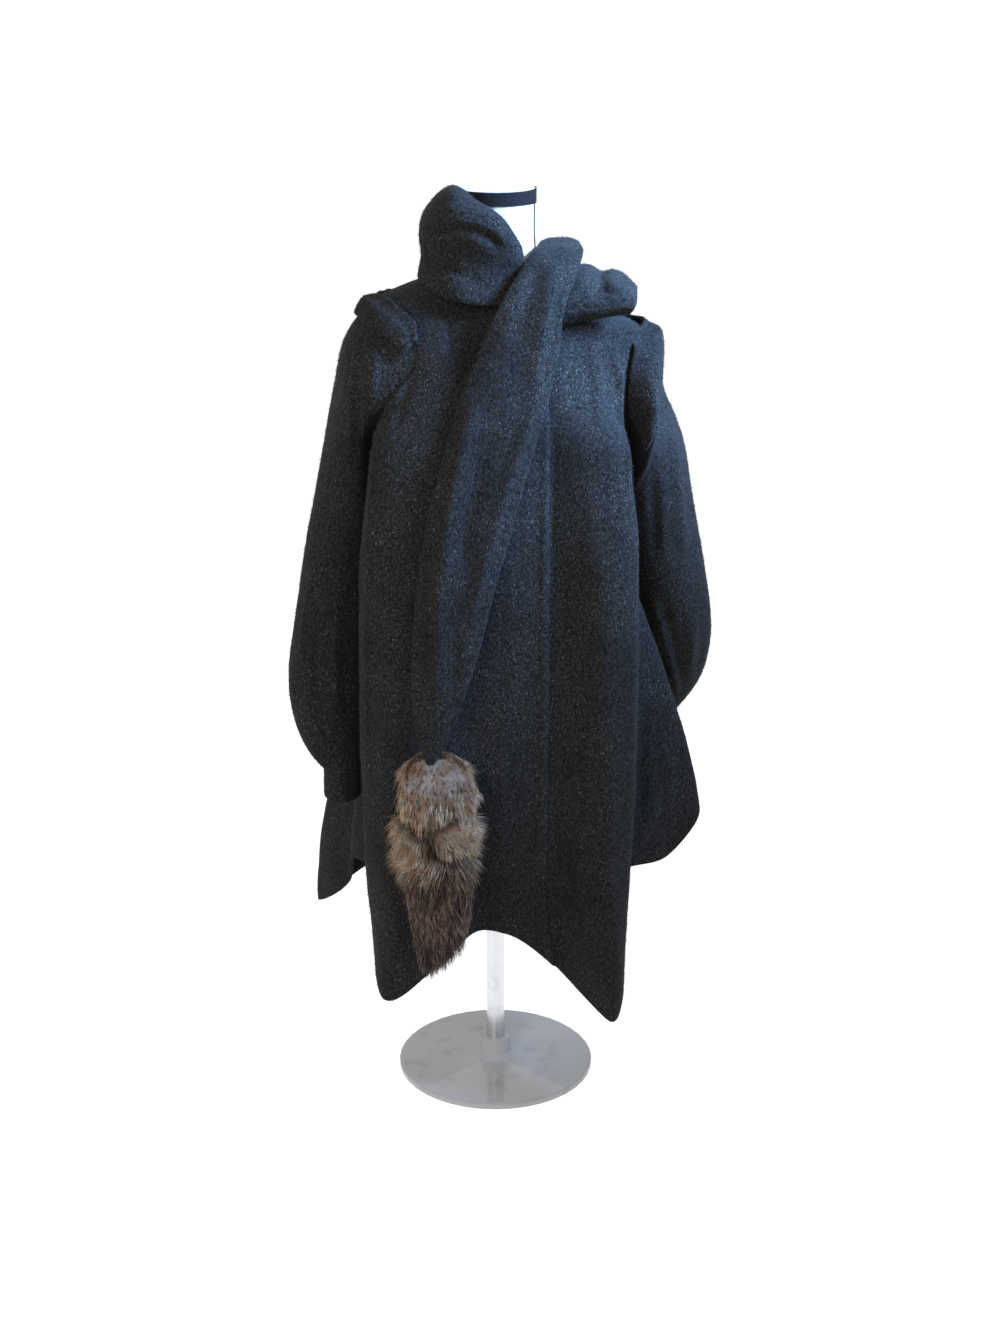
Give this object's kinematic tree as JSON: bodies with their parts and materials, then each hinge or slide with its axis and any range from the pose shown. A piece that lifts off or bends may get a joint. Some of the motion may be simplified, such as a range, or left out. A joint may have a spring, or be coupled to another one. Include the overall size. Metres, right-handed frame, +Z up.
{
  "type": "wool cape coat on a limbless dress form",
  "caption": "Charcoal mohair swing coat with flared back, full sleeves, shoulder flanges and a draped scarf collar ending in a fox tail, worn on a limbless dress form and stand",
  "frame": {"origin": "centre of the underside of the stand's base, on the floor", "axes": "+Z up along the pole, the coat's front faces -Y, the wearer's left is +X"},
  "size_m": [0.6258, 0.5057, 1.348],
  "materials": {
    "wool": "brushed mohair wool, charcoal with pale grey flecks",
    "fur": "long silver fox fur, pale tips and a dark brown end",
    "jersey": "white knitted jersey cover",
    "ribbon": "dark ribbon with pinked edges",
    "pole_steel": "polished steel tube",
    "base_steel": "pale grey painted steel"
  },
  "bodies": {
    "root": {"front_right": "wool", "front_left": "wool", "back": "wool", "sleeve_right": "wool", "sleeve_left": "wool", "cuff_right": "wool", "cuff_left": "wool", "shoulder_cap_right": "wool", "shoulder_cap_left": "wool", "scarf_neck_wrap": "wool", "scarf_front_fall": "wool", "scarf_shoulder_roll": "wool", "scarf_back_end": "wool", "fur_tail": "fur", "form_torso": "jersey", "form_neck_band": "ribbon", "stand_pole": "pole_steel", "stand_base": "base_steel"}
  },
  "joints": []
}
